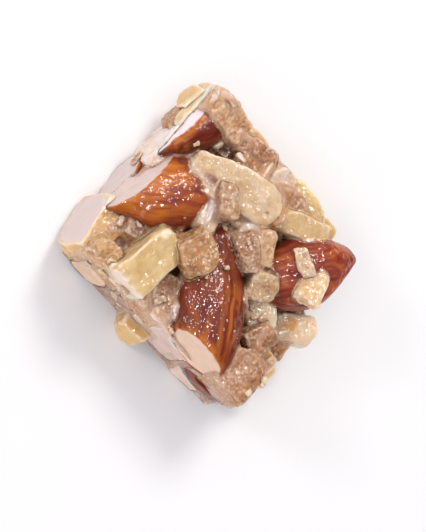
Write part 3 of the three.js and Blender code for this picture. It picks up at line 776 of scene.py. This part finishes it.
def crisp_material():
    """Puffed cereal crisp: toasted, full of burst bubbles, dull between the patches that syrup wets. Real
    bubbles are 0.2 to 0.5 mm across, and these are 0.7 mm so that they show."""
    material, add, coords, tone, stain, worn = new_material("puffed_crisp", "tone", "stain", "worn")
    toast = add("TexNoise", {"Vector": coords, "Scale": 420.0, "Detail": 3.0, "Roughness": 0.55})
    ramp = add("ValToRGB", {"Fac": toast})
    stops(ramp, (0.30, "#d8bc9e"), (0.46, "#f4eadc"), (0.55, "#ffffff"), (0.70, "#fff8ec"))
    toasted = add("Mix", {"Factor": 1.0, 6: tone, 7: ramp}, data_type="RGBA", blend_type="MULTIPLY")
    # Bubbles in sugar: soft dimples with paler walls between, the dimples painted darker as shade in a
    # hollow, and single grains that catch the light.
    cells = add("TexVoronoi", {"Vector": coords, "Scale": 1500.0, "Randomness": 1.0}, feature="SMOOTH_F1")
    pits = add("MapRange", {"Value": cells, "From Min": 0.12, "From Max": 0.55})
    shade = add("MapRange", {"Value": pits, "To Min": 0.88, "To Max": 1.05})
    pit_shaded = add("VectorMath", {0: toasted, "Scale": shade}, operation="SCALE")
    grains = add("TexVoronoi", {"Vector": coords, "Scale": 2600.0})
    some = add("SeparateColor", {"Color": grains.outputs["Color"]})
    sugar = add("Math", {0: some, 1: 0.82}, operation="GREATER_THAN")
    pale = add("Math", {0: sugar, 1: 0.35}, operation="MULTIPLY")
    rubbed = add("Math", {0: worn, 1: 0.5, 2: pale}, operation="MULTIPLY_ADD", use_clamp=True)
    rubbed = add("Mix", {"Factor": rubbed, 6: pit_shaded, 7: rgba("#efdcc2")}, data_type="RGBA")
    amount = add("Math", {0: stain, 1: 0.3}, operation="MULTIPLY")
    stained = add("Mix", {"Factor": amount, 6: rubbed, 7: rgba("#b07a52")}, data_type="RGBA")
    height = add("Math", {0: pits, 1: toast}, operation="ADD")
    bump = add("Bump", {"Strength": 1.0, "Distance": 0.00022, "Height": height})
    wet = add("TexNoise", {"Vector": coords, "Scale": 260.0, "Detail": 1.0})
    coat = add("MapRange", {"Value": wet, "From Min": 0.4, "From Max": 0.6, "To Min": 0.3, "To Max": 0.9})
    shader = add("BsdfPrincipled", {
        "Base Color": stained, "Roughness": 0.6, "Specular IOR Level": 0.2, "Subsurface Weight": 0.4,
        "Subsurface Radius": (1.0, 0.55, 0.3), "Subsurface Scale": 0.0006, "Normal": bump,
        "Coat Weight": coat, "Coat Roughness": 0.11, "Coat IOR": 1.48,
        "Coat Normal": syrup_gloss(add, coords, 0.8)})
    add("OutputMaterial", {"Surface": shader})
    return material


def syrup_material():
    """Set syrup: clear amber, with the colour of the piece under it where it is a thin film, and packed with
    fine crumbs on the cut sides and the underside."""
    material, add, coords, tone, packed, cover = new_material(
        "set_syrup_with_crumbs", "tone", "packed", "cover")
    # Crumbs about 2 mm across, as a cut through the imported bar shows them.
    warp = add("TexNoise", {"Vector": coords, "Scale": 500.0, "Detail": 2.0})
    shifted = add("VectorMath", {0: warp.outputs["Color"], 1: (0.0012, 0.0012, 0.0012), 2: coords},
                  operation="MULTIPLY_ADD")
    bits = add("TexVoronoi", {"Vector": shifted, "Scale": 430.0})
    edge = add("TexVoronoi", {"Vector": shifted, "Scale": 430.0}, feature="DISTANCE_TO_EDGE")
    pick = add("SeparateColor", {"Color": bits.outputs["Color"]})
    kinds = add("ValToRGB", {"Fac": pick})
    kinds.color_ramp.interpolation = "CONSTANT"
    stops(kinds, (0.0, "#c29068"), (0.30, "#d9b990"), (0.48, "#b4835c"), (0.66, "#ddc4aa"), (0.80, "#c39670"),
          (0.93, "#a0603c"))
    seam = add("MapRange", {"Value": edge, "From Min": 0.03, "From Max": 0.11})
    conglomerate = add("Mix", {"Factor": seam, 6: rgba("#a06c4a"), 7: kinds}, data_type="RGBA")
    speck = add("TexNoise", {"Vector": coords, "Scale": 1300.0, "Detail": 3.0})
    shade = add("MapRange", {"Value": speck, "From Min": 0.3, "From Max": 0.7, "To Min": 0.82, "To Max": 1.1})
    grained = add("VectorMath", {0: conglomerate, "Scale": shade}, operation="SCALE")
    colour = add("Mix", {"Factor": packed, 6: tone, 7: grained}, data_type="RGBA")
    relief = add("Math", {0: seam, 1: packed}, operation="MULTIPLY")
    bump = add("Bump", {"Strength": 0.7, "Distance": 0.0004, "Height": relief})
    rough = add("MapRange", {"Value": packed, "To Min": 0.2, "To Max": 0.5})
    # Clear syrup casts no shadow on the pieces under it, and bounced light goes through it.
    rays = add("LightPath").outputs
    passing = add("Math", {0: rays["Is Shadow Ray"], 1: rays["Is Diffuse Ray"]}, operation="MAXIMUM")
    blocking = add("Math", {0: 1.0, 1: passing}, operation="SUBTRACT")
    opaque = add("Math", {0: cover, 1: blocking}, operation="MULTIPLY")
    shader = add("BsdfPrincipled", {
        "Base Color": colour, "Roughness": rough, "Subsurface Weight": 0.6,
        "Subsurface Radius": (1.0, 0.5, 0.3), "Subsurface Scale": 0.0015, "Normal": bump, "Alpha": opaque,
        "Coat Weight": 1.0, "Coat Roughness": 0.04, "Coat IOR": 1.5,
        "Coat Normal": syrup_gloss(add, coords, 0.9)})
    add("OutputMaterial", {"Surface": shader})
    return material


MATERIALS = {"almond": almond_material(), "nut": nut_material(), "crisp": crisp_material(),
             "syrup": syrup_material()}

# Small stains in the pieces themselves: the pixel, the radius in mm and the colour.
STAINS = [
    (198, 251, 0.55, "#cc5a30"), (236, 385, 0.5, "#cf7a42"), (245, 389, 0.8, "#e2ad66"),
    (294, 187, 0.4, "#3c2614"), (181, 161, 0.9, "#8a4a56"), (208, 186, 2.2, "#8a4a44"),
    (290, 325, 1.4, "#eeb264"), (119, 277, 1.6, "#f1e2d2"), (127, 288, 1.8, "#f2e4dc"),
    (137, 297, 1.6, "#f0e0da"), (166, 234, 1.0, "#fbf0dc"), (214, 97, 0.9, "#ece0da"),
    (262, 205, 1.2, "#f0e2d2"),
]
SPOT_SHARE = 0.85  # of a spot's own colour, at its middle
WET_DEPTH = 0.35  # mm of syrup that wet a surface wholly
top_side = np.minimum(nearest, lumps)
stains = [(seen(px, py, top_side), radius, linear(colour)) for px, py, radius, colour in STAINS]


def coloured_spots(vertices, tone, spots, soft):
    """Tones with round spots of colour laid over them."""
    for spot, radius, colour in spots:
        share = np.clip((radius - np.linalg.norm(vertices - spot, axis=1)) / soft, 0, 1)
        tone = tone + (colour - tone) * share[:, None] * SPOT_SHARE
    return tone


def with_alpha(tone):
    return np.column_stack([tone, np.ones(len(tone))])


def wetness(vertices):
    """How much the syrup over a surface wets it, from 0 to 1."""
    return np.clip(-sample(syrup, vertices) / WET_DEPTH, 0, 1)


# ---- The pieces ----
MAUVE_SHEEN = np.array([0.75, 0.7, 1.6])  # painted sheen: random patches of skin are tinted darker and mauve, as a pale reflection tints wet skin
SHINE = linear("#cf7614")  # painted glow: orange laid on the skin beside the pale cut face, as if light entering the face shone through it
SKIN_DEPTH = 0.25
PRESSED = 0.45  # where another piece is this near there is less room for relief
LEAST_RELIEF = 0.1
TEAR = (0.16, 0.7)  # mm: how far the skin's torn edge wanders, and over how much
TORN_AT = (0.2, 0.12)  # mm under the skin where flesh starts, and where it is all flesh after that
CUT_AT = (0.1, 0.5)  # the same for the chopped nuts

for row, (box, field, grown) in zip(pieces, placed):
    origin = LOW + STEP * np.array([s.start for s in box])
    vertices, quads = surface(field, origin)
    depth = -sample(grown, vertices, origin)
    outward = slopes(field, vertices, origin)
    local = local_points(row, vertices)
    skin = np.clip(1 - depth / SKIN_DEPTH, 0, 1)
    worn = edges(field, vertices, origin)
    kind, seed = row["kind"], row["seed"]
    # Each kind's relief: mm of height, then the mm that its features span.
    if kind == "almond":
        furrows = 0.10 * fractal(local * [0.16, 1, 1], 1.0, seed)
        wrinkles = furrows + 0.16 * noise(local * [0.6, 1, 1], 2.6, seed + 7)
        relief = wrinkles * skin + 0.03 * noise(vertices, 1.4, 3) * (1 - skin)
        local = local + 0.55 * np.stack([noise(vertices, 3.2, seed + i) for i in (11, 12, 13)], -1)
    elif kind == "nut":
        grain = 0.14 * fractal(vertices, 1.4, seed) + 0.07 * fractal(vertices, 0.6, 8)
        relief = grain * (0.1 + 0.9 * np.clip(1 - depth / 0.4, 0, 1))
    else:
        relief = 0.22 * fractal(vertices, 1.2, seed) - 0.22 * np.maximum(noise(vertices, 0.6, 4), 0)
    relief = relief * np.clip(sample(second, vertices) / PRESSED, LEAST_RELIEF, 1)
    vertices = vertices + outward * relief[:, None]
    vertices[:, 2] = np.maximum(vertices[:, 2], 0)
    # Painted shade: a row with a colour for its sides is darker and redder there, the more its surface turns
    # away from the top.
    turned = np.clip(1.05 - outward[:, 2], 0, 1)[:, None] ** 1.6
    tone = linear(row["colour"]) * (1 - turned) + linear(row["rim"] or row["colour"]) * turned
    if kind == "almond":
        torn = TEAR[0] * noise(vertices, TEAR[1], 31)
        flesh = np.clip((depth + torn - TORN_AT[0]) / TORN_AT[1], 0, 1)
        # Painted glow: near its knife cut the skin is painted orange, as if lit from inside through the pale
        # cut face.
        if row["cut"]:
            nearby = slice_distance(row["cut"], vertices) / row["glow"]
            tone = tone + (SHINE - tone) * np.clip(1 + nearby + 0.5 * noise(vertices, 2.4, 17), 0, 0.8)[:,
                                                                                                        None]
        # Painted sheen: random patches of the skin are tinted mauve.
        sheen_patches = np.clip(1.3 * noise(vertices, 3.6, seed + 20) - 0.15, 0, 0.7)[:, None]
        tone = tone * (1 - sheen_patches) + tone * MAUVE_SHEEN * sheen_patches
    else:
        flesh = np.clip((depth - CUT_AT[0]) / CUT_AT[1], 0, 1)
    tone = coloured_spots(vertices, tone, stains, 0.5)
    attributes = {"local": local, "flesh": flesh, "stain": wetness(vertices), "worn": worn,
                  "tone": with_alpha(tone), "flesh_tone": np.tile(rgba(row["flesh"]), (len(tone), 1))}
    mesh_piece(row["name"] + "_look", vertices, quads, attributes, MATERIALS[kind], row["name"], kind)

# ---- The lumps and the syrup, which stand for the core ----
SHADE_POOL_EDGE = 0.8  # mm across which a pool's painted shade fades
CLEAR_DEPTH = 0.45  # mm of syrup that hide most of the colour under it
COVER_DEPTH = 0.22  # mm of syrup that hide most of the piece's own surface
LOW_SYRUP = (7.5, 3.0)  # mm: the height where it starts to be pale, and how much higher it all is
ENCLOSED = (0.66, 0.26)  # the share of solid around a hollow, and how much less is open
DEEP = (0.3, 0.7)  # mm of syrup where it starts to be dark, and how much deeper it all is
CRUMBS_FROM = (0.5, 0.6)  # mm from the pieces where packed crumbs start, and how much farther they fill it
CRUMB_TOP = 9.0
vertices, quads = surface(lumps, LOW)
outward = slopes(lumps, vertices)
worn = edges(lumps, vertices, LOW)
relief = 0.22 * fractal(vertices, 1.4, 50) - 0.12 * np.maximum(noise(vertices, 0.7, 4), 0)
vertices += outward * relief[:, None]
vertices[:, 2] = np.maximum(vertices[:, 2], 0)
patch = np.clip(0.5 + 1.4 * noise(vertices, 4.0, 12), 0, 1)[:, None]
tone = linear("#b98a62") * (1 - patch) + linear("#d6b086") * patch
# The lumps in the hollows take the painted shade of the pools.
tone = coloured_spots(vertices, coloured_spots(vertices, tone, shade_pools, SHADE_POOL_EDGE), painted, 0.3)
attributes = {"tone": with_alpha(tone), "worn": worn, "stain": wetness(vertices)}
mesh_piece("lumps_look", vertices, quads, attributes, MATERIALS["crisp"], None, "crisp")


def blurred(inside, reach):
    """The share of solid in the cube of that many cells each way round every grid point."""
    share = inside.astype(np.float32)
    for axis in range(3):
        padding = [(reach + 1, reach) if i == axis else (0, 0) for i in range(3)]
        total = np.cumsum(np.pad(share, padding), axis=axis, dtype=np.float64)
        count = share.shape[axis]
        width = 2 * reach + 1
        share = np.take(total, range(width, width + count), axis) - np.take(total, range(count), axis)
        share = (share / width).astype(np.float32)
    return share


film = (syrup + FILM).astype(np.float32)
vertices, quads = surface(film, LOW)
vertices[:, 2] = np.maximum(vertices[:, 2], 0)
cell = np.clip(np.round((vertices - LOW) / STEP).astype(int), 0, np.array(SHAPE) - 1)
whose = owner[tuple(cell.T)]
palette = np.array([linear(row["colour"]) for row in pieces] + [linear("#bd8a64")])
under = palette[whose]
thick = np.maximum(sample(with_lumps, vertices), 0)
clear = np.exp(-thick / CLEAR_DEPTH)[:, None]
# How closed in by solid each spot of syrup is, which decides its painted shade.
enclosed = sample(blurred(with_lumps < 0, 7), vertices + 0.8 * slopes(film, vertices))
# Painted light and shade: syrup that lies high and open is painted pale and milky in places, as if lit, and
# thick syrup low down or closed in by solid is painted dark, which is also the colour of deep syrup.
open_to_light = np.clip((vertices[:, 2] - LOW_SYRUP[0]) / LOW_SYRUP[1], 0, 1)[:, None]
open_to_light = open_to_light * np.clip((ENCLOSED[0] - enclosed) / ENCLOSED[1], 0, 1)[:, None]
milky_and_lit = (np.clip(noise(vertices, 3.0, 77) * 1.4, 0, 1) * 0.5)[:, None] * open_to_light
deep = (1 - open_to_light) * np.clip((thick - DEEP[0]) / DEEP[1], 0, 1)[:, None]
liquid = linear("#6e2e18") * deep + linear("#d4aa8a") * (1 - deep)
liquid = liquid * (1 - milky_and_lit) + linear("#dfc3ac") * milky_and_lit
tone = under * 0.97 * clear + liquid * (1 - clear)
cover = 1 - np.exp(-thick / COVER_DEPTH)
# The painted shade of the pools, and the colours of the glaze.
tone = coloured_spots(vertices, coloured_spots(vertices, tone, shade_pools, SHADE_POOL_EDGE), glazed, GLAZE_EDGE)
# Over a seam the syrup is deep, however near the pieces on both sides are.
seam = np.clip(1.8 - sample(second, vertices) / 0.3, 0, 1)
cover = np.maximum(cover, seam)
# Below the top layer, and on the underside, it is full of crumbs.
packed = np.clip((sample(with_lumps, vertices) - CRUMBS_FROM[0]) / CRUMBS_FROM[1], 0, 1)
packed = packed * np.clip(CRUMB_TOP - vertices[:, 2], 0, 1)
packed = np.maximum(packed, vertices[:, 2] < 0.05)
attributes = {"tone": with_alpha(tone), "packed": packed, "cover": np.maximum(cover, packed)}
syrup_look = mesh_piece("syrup_look", vertices, quads, attributes, MATERIALS["syrup"], "syrup_core", "syrup")
# Its flat sides need few faces, and a piece stays under 200,000 triangles.
thinner = syrup_look.modifiers.new("thinner", "DECIMATE")
thinner.ratio = 0.72


# ---- Loose crumbs in the crevices and pale beads of syrup on top, partly painted highlights, scattered by Geometry Nodes ----
def crumb_material():
    """Fine crumbs of nut and crisp, some cream and some toasted, sticky with syrup."""
    material, add, coords = new_material("nut_and_crisp_crumbs")
    cells = add("TexVoronoi", {"Vector": coords, "Scale": 600.0})
    pick = add("SeparateColor", {"Color": cells.outputs["Color"]})
    kinds = add("ValToRGB", {"Fac": pick})
    stops(kinds, (0.0, "#b98558"), (0.35, "#d8b184"), (0.6, "#dcc09c"), (0.85, "#c4936a"), (1.0, "#8e4c28"))
    grain = add("TexNoise", {"Vector": coords, "Scale": 2500.0, "Detail": 2.0})
    bump = add("Bump", {"Strength": 0.6, "Distance": 0.0001, "Height": grain})
    shader = add("BsdfPrincipled", {
        "Base Color": kinds, "Roughness": 0.55, "Subsurface Weight": 0.4,
        "Subsurface Radius": (1.0, 0.6, 0.35),
        "Subsurface Scale": 0.0006, "Normal": bump, "Coat Weight": 0.7, "Coat Roughness": 0.12,
        "Coat IOR": 1.46})
    add("OutputMaterial", {"Surface": shader})
    return material


def bead_and_glint_material():
    """Beads of set syrup that let half the light through and mirror the lamps, pale so that they also stand
    as painted highlights.
    """
    material, add, _ = new_material("syrup_beads")
    shader = add("BsdfPrincipled", {
        "Base Color": rgba("#f4e4d4"), "Roughness": 0.08, "Alpha": 0.5, "Specular IOR Level": 0.8,
        "Coat Weight": 1.0, "Coat Roughness": 0.03, "Coat IOR": 1.48})
    add("OutputMaterial", {"Surface": shader})
    return material


def scatter_tree(name, material):
    """Small lumps on random points of a surface, each of its own size and turn, pressed flat."""
    tree = bpy.data.node_groups.new(name, "GeometryNodeTree")
    add = adder(tree)
    face = tree.interface
    face.new_socket("Geometry", in_out="INPUT", socket_type="NodeSocketGeometry")
    for label in ("Density", "Smallest", "Largest", "Flatness", "Roughness"):
        face.new_socket(label, in_out="INPUT", socket_type="NodeSocketFloat")
    face.new_socket("Seed", in_out="INPUT", socket_type="NodeSocketInt")
    face.new_socket("Geometry", in_out="OUTPUT", socket_type="NodeSocketGeometry")
    given = add("NodeGroupInput").outputs
    spots = add("GeometryNodeDistributePointsOnFaces",
                {"Mesh": given["Geometry"], "Density": given["Density"], "Seed": given["Seed"]}).outputs
    ball = add("GeometryNodeMeshIcoSphere", {"Radius": 1.0, "Subdivisions": 2})
    swirl = add("TexNoise", {"Scale": 1.3, "Detail": 1.0})
    centred = add("VectorMath", {0: swirl.outputs["Color"], 1: (0.5, 0.5, 0.5)}, operation="SUBTRACT")
    shift = add("VectorMath", {0: centred, "Scale": given["Roughness"]}, operation="SCALE")
    lump = add("GeometryNodeSetPosition", {"Geometry": ball, "Offset": shift})
    size = add("FunctionNodeRandomValue", {2: given["Smallest"], 3: given["Largest"], "Seed": given["Seed"]})
    long = add("Math", {0: size, 1: 1.4}, operation="MULTIPLY")
    thick = add("Math", {0: size, 1: given["Flatness"]}, operation="MULTIPLY")
    scale = add("CombineXYZ", {"X": long, "Y": size, "Z": thick})
    angle = add("FunctionNodeRandomValue", {2: 0.0, 3: 2 * math.pi, "Seed": given["Seed"]})
    spin = add("CombineXYZ", {"Z": angle})
    turned = add("FunctionNodeRotateRotation", {0: spots["Rotation"], 1: spin}, rotation_space="LOCAL")
    copies = add("GeometryNodeInstanceOnPoints", {"Points": spots["Points"], "Instance": lump,
                                                       "Rotation": turned, "Scale": scale})
    smooth = add("GeometryNodeSetShadeSmooth", {"Geometry": copies})
    real = add("GeometryNodeRealizeInstances", {"Geometry": smooth})
    dressed = add("GeometryNodeSetMaterial", {"Geometry": real, "Material": material})
    add("NodeGroupOutput", {0: dressed})
    return tree


def scatter(name, vertices, quads, tree, sizes):
    """What a scatter tree makes on a surface, as one plain mesh."""
    host = plain_object(name + "_host", vertices, quads)
    host.data.update(calc_edges=True)
    modifier = host.modifiers.new("scatter", "NODES")
    modifier.node_group = tree
    for socket in tree.interface.items_tree:
        if socket.in_out == "INPUT" and socket.name in sizes:
            modifier[socket.identifier] = sizes[socket.name]
    graph = bpy.context.evaluated_depsgraph_get()
    mesh = bpy.data.meshes.new_from_object(host.evaluated_get(graph), depsgraph=graph)
    bpy.data.objects.remove(host)
    obj = bpy.data.objects.new(name, mesh)
    bpy.context.collection.objects.link(obj)
    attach(obj, "root")
    return obj


CREVICE_TURN = -0.03
CREVICE_HEIGHTS = (5, 15)
OPEN_FACING = 0.35
OPEN_HEIGHT = 9
PER_MM2 = 1e6
skin_of_all = np.minimum(with_lumps, film)
vertices, quads = surface(skin_of_all, LOW)
facing_up = slopes(skin_of_all, vertices)[quads].mean(1)[:, 2]
bend = turning(skin_of_all, vertices, LOW)[quads].mean(1)
height = vertices[quads].mean(1)[:, 2]
crevices = quads[(bend < CREVICE_TURN) & (height > CREVICE_HEIGHTS[0]) & (height < CREVICE_HEIGHTS[1])]
open_top = quads[(facing_up > OPEN_FACING) & (height > OPEN_HEIGHT)]
crumb_sizes = {"Density": 0.06 * PER_MM2, "Smallest": 0.18 * MM, "Largest": 0.5 * MM,
               "Flatness": 0.7, "Roughness": 1.1, "Seed": 4}
bead_sizes = {"Density": 0.035 * PER_MM2, "Smallest": 0.06 * MM, "Largest": 0.22 * MM,
              "Flatness": 0.4, "Roughness": 0.8, "Seed": 9}
scatter("loose_crumbs_look", vertices, crevices, scatter_tree("crumbs", crumb_material()), crumb_sizes)
scatter("syrup_beads_look", vertices, open_top, scatter_tree("beads", bead_and_glint_material()), bead_sizes)

# ---- Floor, light and camera ----
floor_mesh = bpy.data.meshes.new("floor")
REACH = 2.0  # metres
corners = [(-REACH, -REACH, 0), (REACH, -REACH, 0), (REACH, REACH, 0), (-REACH, REACH, 0)]
floor_mesh.from_pydata(corners, [], [(0, 1, 2, 3)])
floor = bpy.data.objects.new("floor", floor_mesh)
bpy.context.collection.objects.link(floor)
paper, add, coords = new_material("white_card")
fibre = add("TexNoise", {"Vector": coords, "Scale": 40.0})
tint = add("MapRange", {"Value": fibre, "To Min": 0.93, "To Max": 0.95})
card = add("BsdfPrincipled", {"Base Color": tint, "Roughness": 0.9, "Specular IOR Level": 0.1})
add("OutputMaterial", {"Surface": card})
floor_mesh.materials.append(paper)

world = bpy.data.worlds.new("studio")
bpy.context.scene.world = world
world.use_nodes = True
tree = world.node_tree
sky = tree.nodes["Background"]
sky.inputs["Color"].default_value = rgba("#f8f6fb")
# The room around the table is dim, so what the gloss mirrors is darker than what lights the piece.
add = adder(tree)
mirrored = add("LightPath").outputs["Is Glossy Ray"]
level = add("MapRange", {"Value": mirrored, "To Min": 0.71, "To Max": 0.12})
tree.links.new(level.outputs[0], sky.inputs["Strength"])


def placed_matrix(x, y, z, place):
    return Matrix([[x[i], y[i], z[i], place[i]] for i in range(3)] + [[0, 0, 0, 1]])


def softbox(name, toward, size, watts, colour):
    """A square area light that shines on the piece from a direction in the drawing frame."""
    light = bpy.data.lights.new(name, "AREA")
    light.size = size
    light.energy = watts
    light.color = tuple(linear(colour))
    lamp = bpy.data.objects.new(name, light)
    middle = TO_PART @ (CAMERA_AIM * [1, 1, 0.5]) * MM
    z = TO_PART @ (np.array(toward) / np.linalg.norm(toward))
    x = np.cross([0, 0, 1], z)
    x /= np.linalg.norm(x)
    lamp.matrix_world = placed_matrix(x, np.cross(z, x), z, middle + z * LAMP_DISTANCE)
    bpy.context.collection.objects.link(lamp)
    return lamp


LAMP_DISTANCE = 0.5
softbox("key", (0.45, 0.75, 0.95), 0.15, 1.1, "#fffbf6")
softbox("edge", (-0.9, 0.5, 0.6), 0.12, 0.45, "#f8f5ff")
softbox("fill", (-0.75, -0.7, 0.3), 0.3, 0.55, "#fbf8ff")
for number, toward in enumerate([(0.1, 0.6, 1.0), (-0.55, 0.35, 1.0), (0.35, 0.1, 1.0), (-0.3, -0.25, 1.0)]):
    # These small lamps only show as highlights in the gloss, and light nothing.
    softbox(f"glint_{number}", toward, 0.04, 0.6, "#ffffff").visible_diffuse = False

lens = bpy.data.cameras.new("camera")
lens.lens = LENS
lens.sensor_width = SENSOR
lens.clip_start = 0.01
camera = bpy.data.objects.new("camera", lens)
camera.matrix_world = placed_matrix(*(TO_PART @ axis for axis in (RIGHT, UP, BACK)), TO_PART @ EYE * MM)
bpy.context.collection.objects.link(camera)
bpy.context.scene.camera = camera
bpy.context.scene.view_settings.view_transform = "Standard"
